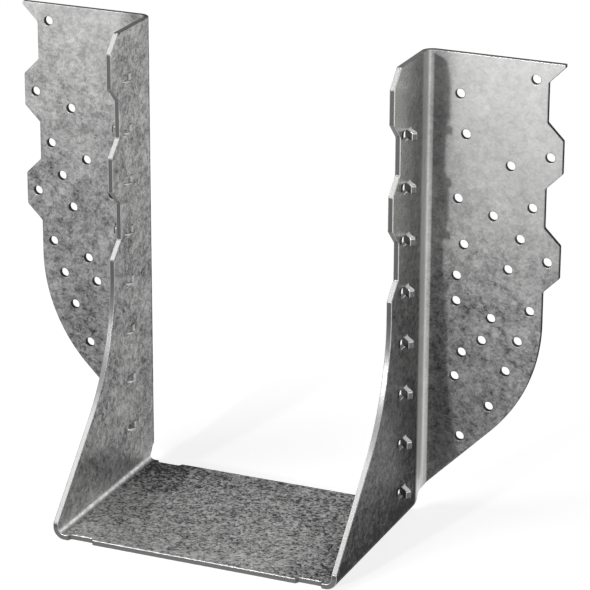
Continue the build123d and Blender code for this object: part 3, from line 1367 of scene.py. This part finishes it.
@dataclass(frozen=True)
class PaintedLightAndShade:
    """Painted light and shade in the zinc's tone: lighter and darker stretches of the flanges, painted shade
    that deepens the shadows beside the folds, a painted dark band where the folds turn, walls lighter
    towards the top and darker at the foot and beside the folds, and light and dark patches and a dark streak
    on the seat.

    Spans whose names end in rise are told from -1 at the sheet's foot to 1 at its top, turned is
    told in the flange's share, and the other spans are in metres, across or towards the header.
    Each tone is what its place gains at most, or gains for each unit of rise or each metre.
    """

    half_height: float
    flange_tone: float = -0.09
    flange_tone_per_rise: float = 0.26
    flange_tone_per_metre: float = 0.3
    flange_top_rise: Span = Span(fade_in=(0.4, 0.9))
    flange_top_tone: float = 0.1
    flange_foot_rise: Span = Span(fade_out=(-0.95, -0.5))
    flange_foot_tone: float = 0.3
    right_flange: Span = Span(fade_in=(-0.09, 0.09))
    right_belt_rise: Span = Span((-0.5, -0.25), (0.05, 0.35))
    right_belt_tone: float = -0.07
    right_upper_rise: Span = Span((0.1, 0.35), (0.5, 0.75))
    right_upper_tone: float = 0.06
    left_upper_rise: Span = Span(fade_in=(-0.4, 0.3))
    left_upper_tone: float = -0.07
    beside_fold: Span = Span(fade_out=(0.078, 0.088))
    beside_fold_rise: Span = Span(fade_in=(0.0, 0.8))
    beside_fold_tone: float = -0.42
    turned: Span = Span((0.0, 0.12), (0.2, 0.4))
    turned_tone: float = -0.5
    wall_tone: float = 0.17
    wall_tone_per_rise: float = 0.36
    wall_back: Span = Span(fade_in=(0.01, 0.042))
    wall_back_rise: Span = Span(fade_in=(-0.1, 0.6))
    wall_back_tone: float = -0.22
    wall_foot_rise: Span = Span(fade_out=(-0.95, -0.4))
    wall_foot_tone: float = -0.34
    pocket_belt_rise: Span = Span((-0.9, -0.3), (-0.1, 0.5))
    pocket_belt_tone: float = -0.1
    seat_tone: float = 0.09
    seat_tone_per_metre: float = -3.0
    seat_left: Span = Span(fade_out=(-0.065, -0.02))
    seat_back: Span = Span(fade_in=(0.0, 0.042))
    seat_corner_tone: float = -0.55
    seat_right: Span = Span(fade_in=(0.03, 0.068))
    seat_right_tone: float = -0.4
    seat_front: Span = Span(fade_out=(-0.05, -0.01))
    seat_pale_tone: float = 0.16
    streak_across: float = -0.05
    streak: Span = Span(fade_out=(0.003, 0.012))
    streak_tone: float = -0.13

    def on_flange(self, sheet: Reading, rise: Value) -> Value:
        """Painted light and shade on the flanges: changing with height and across, painted shade deepening
        the shadow beside the folds, and a darker belt across the right one.

        Args:
            sheet: What the finish reads.
            rise: Height from -1 to 1.

        Returns:
            What is added to the tone.
        """
        right = self.right_flange.share(sheet.across)
        beside_fold = self.beside_fold.share(abs(sheet.across)) * self.beside_fold_rise.share(rise)
        on_right = (
            self.right_upper_rise.share(rise) * self.right_upper_tone
            + self.right_belt_rise.share(rise) * self.right_belt_tone
        )
        return (
            rise * self.flange_tone_per_rise
            + sheet.across * self.flange_tone_per_metre
            + self.flange_top_rise.share(rise) * self.flange_top_tone
            + self.flange_foot_rise.share(rise) * self.flange_foot_tone
            + right * on_right
            + (1.0 - right) * self.left_upper_rise.share(rise) * self.left_upper_tone
            + beside_fold * self.beside_fold_tone
            + self.flange_tone
        )

    def on_wall(self, sheet: Reading, rise: Value) -> Value:
        """Painted light and shade on the walls: the outer side is lighter towards the top and darker at the
        foot and beside the fold, and the pocket side has a darker belt.

        Args:
            sheet: What the finish reads.
            rise: Height from -1 to 1.

        Returns:
            What is added to the tone.
        """
        back = self.wall_back.share(sheet.depth) * self.wall_back_rise.share(rise)
        outer = (
            rise * self.wall_tone_per_rise
            + back * self.wall_back_tone
            + self.wall_foot_rise.share(rise) * self.wall_foot_tone
        )
        pocket = self.pocket_belt_rise.share(rise) * self.pocket_belt_tone
        return outer * sheet.outer + pocket * sheet.pocket + self.wall_tone

    def on_seat(self, sheet: Reading) -> Value:
        """Painted light and shade on the seat: dark in the left back corner and on the right, pale at the
        front left, with one dark streak.

        Args:
            sheet: What the finish reads.

        Returns:
            What is added to the tone.
        """
        left, front = self.seat_left.share(sheet.across), self.seat_front.share(sheet.depth)
        streak = self.streak.share(abs(sheet.across - self.streak_across)) * (1.0 - front)
        return (
            sheet.depth * self.seat_tone_per_metre
            + self.seat_back.share(sheet.depth) * left * self.seat_corner_tone
            + self.seat_right.share(sheet.across) * self.seat_right_tone
            + streak * self.streak_tone
            + front * left * self.seat_pale_tone
            + self.seat_tone
        )

    def tone(self, sheet: Reading) -> Value:
        """Works out the painted light and shade of each part, and a painted dark band on the pocket side
        where the folds turn into the flanges.

        Args:
            sheet: What the finish reads.

        Returns:
            What is added to the tone.
        """
        rise = sheet.height / self.half_height - 1.0
        turned = self.turned.share(sheet.flange) * sheet.pocket * self.turned_tone
        return (
            self.on_flange(sheet, rise) * sheet.flange
            + self.on_wall(sheet, rise) * sheet.wall
            + self.on_seat(sheet) * sheet.seat
            + turned
        )


@dataclass(frozen=True)
class PaintedBendHighlight:
    """Painted highlights: a bright band on the outer side of the folds and a fine bright line on the pocket
    side of the seat's bends.

    The spans band, crease and line and the range band_halves are told from 0 where a bend starts to
    1 where it ends. The band's parts on the wall's side and on the flange's side differ in strength,
    and both change over the given heights, which are in metres.
    """

    folds: Folds
    band: Span = Span((-0.75, -0.25), (0.84, 0.94))
    band_halves: Range = (0.15, 0.5)
    wall_side: float = 0.9
    wall_side_heights: Range = (0.0, 0.1)
    wall_side_gain: float = 0.1
    flange_side: float = 0.42
    flange_side_heights: tuple[Range, Range] = ((0.05, 0.11), (0.12, 0.2))
    flange_side_losses: tuple[float, float] = (0.12, 0.16)
    crease: Span = Span((0.34, 0.46), (0.48, 0.62))
    crease_shine: float = 0.22
    line: Span = Span((0.4, 1.0), (1.0, 1.9))
    line_shine: float = 0.11

    def along(self, place: Value, start: float, end: float) -> Value:
        """Turns metres on the flat sheet into 0 at a bend's start and 1 at its end, in millimetres."""
        length = (end - start) * MILLIMETRE
        return place / length - start * MILLIMETRE / length

    def share(self, sheet: Reading) -> Value:
        """Works out the painted highlight bands on the folds and the painted highlight lines along the
        seat's bends.

        Args:
            sheet: What the finish reads.

        Returns:
            How bright each place is, from 0 to about 1.
        """
        folds = self.folds
        fold = self.along(sheet.along_t, folds.fold_y, folds.flange_t)
        bend = self.along(abs(sheet.along_u), folds.seat_half, folds.wall_s)
        wall_side = sheet.height.ramp(*self.wall_side_heights) * self.wall_side_gain + self.wall_side
        flange_side = self.flange_side
        for heights, loss in zip(self.flange_side_heights, self.flange_side_losses):
            flange_side = flange_side - sheet.height.ramp(*heights) * loss
        across = fold.ramp(*self.band_halves) * (flange_side - wall_side) + wall_side
        band = self.band.share(fold) * across + self.crease.share(fold) * self.crease_shine
        return band * sheet.outer + self.line.share(bend) * sheet.pocket * self.line_shine


@dataclass(frozen=True)
class GuideShade:
    """Painted shade on the right wall just in front of its nail guides. Sizes are in millimetres."""

    folds: Folds
    lift: float = 1.2
    taper: float = 0.3
    length: Range = (-2.8, -1.4)
    half_width: Range = (1.2, 2.4)
    back: Range = (0.0, 0.3)
    above_first: Range = (3.0, 4.0)
    right_wall: Range = (70.0, 71.0)

    def share(self, sheet: Reading) -> Value:
        """Works out the painted shade.

        The distance to the nearest guide's middle is the height, folded back and forth over half a pitch.
        Nothing is shaded above the first guide.

        Args:
            sheet: What the finish reads.

        Returns:
            How far a place lies in the painted shade.
        """
        folds, guides = self.folds, self.folds.guides
        height, depth, across = (
            value / MILLIMETRE for value in (sheet.height, sheet.depth, sheet.across)
        )
        first = folds.top - guides.first_drop_right + self.lift
        off = (height - (first - guides.count * guides.pitch)).folded(guides.pitch / 2)
        ahead = depth - (folds.hinge_y - guides.tab_length)
        front = (ahead + off * self.taper).ramp(*self.length) * (1.0 - ahead.ramp(*self.back))
        below = 1.0 - (height - first).ramp(*self.above_first)
        return front * (1.0 - off.ramp(*self.half_width)) * below * across.ramp(*self.right_wall)


@dataclass(frozen=True)
class GalvanisedFinish:
    """Hot-dipped zinc with a fine grey spangle and sheared steel on the cut edges, with painted light and
    shade in its colour.
    """

    folds: Folds
    spangle: Spangle = Spangle()
    dark: Colour = (0.03, 0.03, 0.031)
    light: Colour = (0.84, 0.84, 0.83)
    contrast: float = 0.52
    darkest: float = 0.025
    # Painted shade in the crease on the pocket side of the seat's bends, which also gets a little rougher.
    stretched: Colour = (0.24, 0.24, 0.24)
    stretched_share: float = 0.8
    stretched_roughness: float = 0.03
    # Colour of the painted highlights on the folds and the seat's bends.
    fold_zinc: Colour = (0.97, 0.97, 0.96)
    # Painted shade in front of the right wall's nail guides.
    dimple_share: float = 0.85
    # Painted shade on the pocket side of the right wall's tabs.
    tab_shade: Colour = (0.04, 0.04, 0.04)
    dull_share: float = 0.85
    sheared: Colour = (0.09, 0.09, 0.09)
    # Painted highlights on the cut edges and tabs that face forwards or up.
    bright_zinc: Colour = (0.8, 0.8, 0.79)
    bright_share: float = 0.7
    # Painted shade: near-black, rough, not metallic, on cut edges that face sideways and in the nail holes.
    bare: Colour = (0.008, 0.008, 0.008)
    # Painted reflection on the walls' upper outer side, strongest towards the front.
    sheen_heights: Range = (0.1, 0.19)
    sheen: float = 0.2
    front_sheen: float = 0.62
    front: Span = Span(fade_out=(0.004, 0.04))
    face_metallic: float = 0.8
    face_roughness: float = 0.48
    light_polish: float = 0.22
    cut_roughness: float = 0.36
    bare_roughness: float = 0.85
    specular_level: float = 0.2
    edge_tint: tuple[float, float, float, float] = (0.5, 0.5, 0.5, 1.0)
    relief_strength: float = 0.15
    relief_depth: float = 0.00034

    def tone(self, sheet: Reading) -> Value:
        """Works out the zinc's tone, with its painted light and shade and the painted reflection that
        lightens the walls' upper outer side.

        Args:
            sheet: What the finish reads.

        Returns:
            0 for the darkest zinc to 1 for the lightest.
        """
        painted_light_and_shade = PaintedLightAndShade(half_height=self.folds.top * MILLIMETRE / 2)
        sheen = self.front.share(sheet.depth) * self.front_sheen + self.sheen
        sheen = sheen * sheet.wall * sheet.outer * sheet.height.ramp(*self.sheen_heights)
        tone = self.spangle.tone(sheet) + painted_light_and_shade.tone(sheet)
        return (tone * self.contrast + self.darkest + sheen).clamped()

    def material(self) -> bpy.types.Material:
        """Builds the node material.

        Over the zinc's tone come painted shade in the crease of the seat's bends, painted highlights on the
        folds and along the seat's bends, and painted shade in front of the right wall's nail guides and on
        the pocket side of its tabs; on the cut edges come sheared steel, painted highlights and painted
        shade.
        A crease is four times the product of the seat's share and the rest, so it is 1 halfway round
        the bend. The relief is twice as high on the seat.

        Returns:
            The material.
        """
        made = bpy.data.materials.new("galvanised_zinc")
        shader = Shader(made)
        sheet = Reading.of(shader)
        cut, bare = shader.attribute("cut_edge"), shader.attribute("edge_shade_share")
        tone = self.tone(sheet)
        crease = sheet.seat * (1.0 - sheet.seat) * sheet.pocket * 4.0
        guide_shade = GuideShade(self.folds).share(sheet) * sheet.outer
        covers = (
            (crease * self.stretched_share, self.stretched),
            (PaintedBendHighlight(self.folds).share(sheet), self.fold_zinc),
            (guide_shade * self.dimple_share, self.dark),
            (shader.attribute("tab_shade") * self.dull_share, self.tab_shade),
            (cut, self.sheared),
            (shader.attribute("edge_highlight") * self.bright_share, self.bright_zinc),
            (bare, self.bare),
        )
        colour = shader.blend(tone, self.dark, self.light)
        for share, cover in covers:
            colour = shader.blend(share, colour, cover)
        face = self.face_roughness - tone * self.light_polish + crease * self.stretched_roughness
        rough = face * (1.0 - cut) + cut * self.cut_roughness
        bump = shader.value("ShaderNodeBump", None, {
            "Strength": self.relief_strength,
            "Distance": self.relief_depth,
            "Height": tone * (sheet.seat + 1.0),
        }, "Normal")
        shader.surface(shader.value("ShaderNodeBsdfPrincipled", None, {
            "Base Color": colour,
            "Metallic": (cut * (1.0 - self.face_metallic) + self.face_metallic) * (1.0 - bare),
            "Roughness": rough * (1.0 - bare) + bare * self.bare_roughness,
            "Specular IOR Level": self.specular_level,
            "Specular Tint": self.edge_tint,
            "Normal": bump,
        }))
        return made


def direction(azimuth: float, elevation: float) -> Vector:
    """Unit vector at these degrees from the front towards the right, and above the level."""
    turn, lift = radians(azimuth), radians(elevation)
    return Vector((sin(turn) * cos(lift), -cos(turn) * cos(lift), sin(lift)))


@dataclass(frozen=True)
class Lamp:
    """A rectangular studio lamp that faces the object."""

    name: str
    azimuth: float
    elevation: float
    distance: float
    width: float
    height: float
    power: float

    def build(self, target: Vector) -> bpy.types.Object:
        """Hangs the lamp.

        Args:
            target: The point that the lamp faces.

        Returns:
            The lamp's object.
        """
        data = bpy.data.lights.new(self.name, "AREA")
        data.shape = "RECTANGLE"
        data.size, data.size_y = self.width, self.height
        data.energy = self.power
        lamp = bpy.data.objects.new(self.name, data)
        away = direction(self.azimuth, self.elevation)
        lamp.location = target + away * self.distance
        lamp.rotation_euler = away.to_track_quat("Z", "Y").to_euler()
        bpy.context.scene.collection.objects.link(lamp)
        return lamp


@dataclass(frozen=True)
class Studio:
    """Pale floor, soft lamps and the camera."""

    camera_place: tuple[float, float, float] = (0.567779, -1.253753, 0.619886)
    camera_azimuth: float = 23.293
    camera_elevation: float = 20.142
    camera_roll: float = 0.206
    sensor_width: float = 36.0
    lens: float = 191.65
    floor_half: float = 4.0
    floor_colour: Colour = (0.4, 0.4, 0.4)
    floor_glow: float = 0.8
    sky_level: float = 0.1
    lamps: tuple[Lamp, ...] = (
        Lamp("key_lamp", -13.3, 9.9, 2.6, 0.12, 0.12, 43.0),
        Lamp("left_softbox", -55.0, 52.0, 2.0, 1.0, 1.0, 18.7),
        Lamp("right_softbox", 62.0, 10.0, 2.0, 1.0, 1.0, 5.0),
        Lamp("rear_softbox", 157.0, 14.0, 2.0, 1.0, 1.0, 14.7),
    )

    def build(self) -> None:
        """Builds the floor, the sky, the lamps and the camera."""
        scene = bpy.context.scene
        scene.view_settings.view_transform = "Standard"
        self.build_floor()
        self.build_sky()
        low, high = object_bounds()
        middle = (Vector(low) + Vector(high)) / 2
        for lamp in self.lamps:
            lamp.build(middle)
            LOG.info("%s: %.1f W", lamp.name, lamp.power)
        self.build_camera()

    def build_floor(self) -> None:
        """Lays the floor, white to the camera and in reflections, with the object's shadow on it."""
        half = self.floor_half
        mesh = bpy.data.meshes.new("floor")
        mesh.from_pydata(
            [(-half, -half, 0.0), (half, -half, 0.0), (half, half, 0.0), (-half, half, 0.0)],
            [],
            [(0, 1, 2, 3)],
        )
        floor = bpy.data.objects.new("floor", mesh)
        bpy.context.scene.collection.objects.link(floor)
        finish = bpy.data.materials.new("white_floor")
        shader = Shader(finish)
        seen = self.seen_directly(shader)
        matt = shader.value("ShaderNodeBsdfDiffuse", None, {"Color": (*self.floor_colour, 1.0)})
        glow = shader.value("ShaderNodeEmission", None, {"Strength": seen * self.floor_glow})
        shader.surface(shader.value("ShaderNodeAddShader", None, {0: matt, 1: glow}))
        mesh.materials.append(finish)
        floor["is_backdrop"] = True

    def build_sky(self) -> None:
        """Lights the scene evenly, and shows white where the floor ends."""
        world = bpy.data.worlds.new("sky")
        bpy.context.scene.world = world
        shader = Shader(world)
        seen = self.seen_directly(shader)
        strength = seen * (1.0 - self.sky_level) + self.sky_level
        glow = shader.value("ShaderNodeBackground", None, {"Strength": strength})
        shader.surface(glow, "ShaderNodeOutputWorld")

    def seen_directly(self, shader: Shader) -> Value:
        """Tells what is looked at, straight or in a reflection, from what only lights the object.

        Args:
            shader: The tree of the floor or the sky.

        Returns:
            1 for rays from the camera, in reflections and through glass, and 0 for other light.
        """
        outputs = ("Is Camera Ray", "Is Glossy Ray", "Is Transmission Ray")
        camera, glossy, through = (shader.value("ShaderNodeLightPath", output=name) for name in outputs)
        return shader.math("MAXIMUM", shader.math("MAXIMUM", camera, glossy), through)

    def build_camera(self) -> None:
        """Sets the camera up at the photograph's angle.

        Its sideways axis lies level and is then rolled about the line of sight.
        """
        data = bpy.data.cameras.new("camera")
        data.sensor_width = self.sensor_width
        data.lens = self.lens
        camera = bpy.data.objects.new("camera", data)
        turn, roll = radians(self.camera_azimuth), radians(self.camera_roll)
        back = direction(self.camera_azimuth, self.camera_elevation)
        right = Vector((cos(turn), sin(turn), 0.0))
        up = back.cross(right)
        rolled_right = right * cos(roll) + up * sin(roll)
        rolled_up = up * cos(roll) - right * sin(roll)
        axes = Matrix((rolled_right, rolled_up, back)).transposed()
        camera.matrix_world = Matrix.LocRotScale(Vector(self.camera_place), axes.to_quaternion(), None)
        bpy.context.scene.collection.objects.link(camera)
        bpy.context.scene.camera = camera


def main() -> None:
    """Builds the hanger and the studio, and notes the sizes."""
    logging.basicConfig(level=logging.INFO, format="%(name)s: %(message)s")
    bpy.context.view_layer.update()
    low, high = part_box(NODE)
    folds = Folds(top=high[2] / MILLIMETRE, header_y=high[1] / MILLIMETRE)
    hanger = Hanger(folds, front_y=low[1] / MILLIMETRE)
    hanger.dress(hanger.build(), GalvanisedFinish(folds))
    Studio().build()


if __name__ == "__main__":
    main()
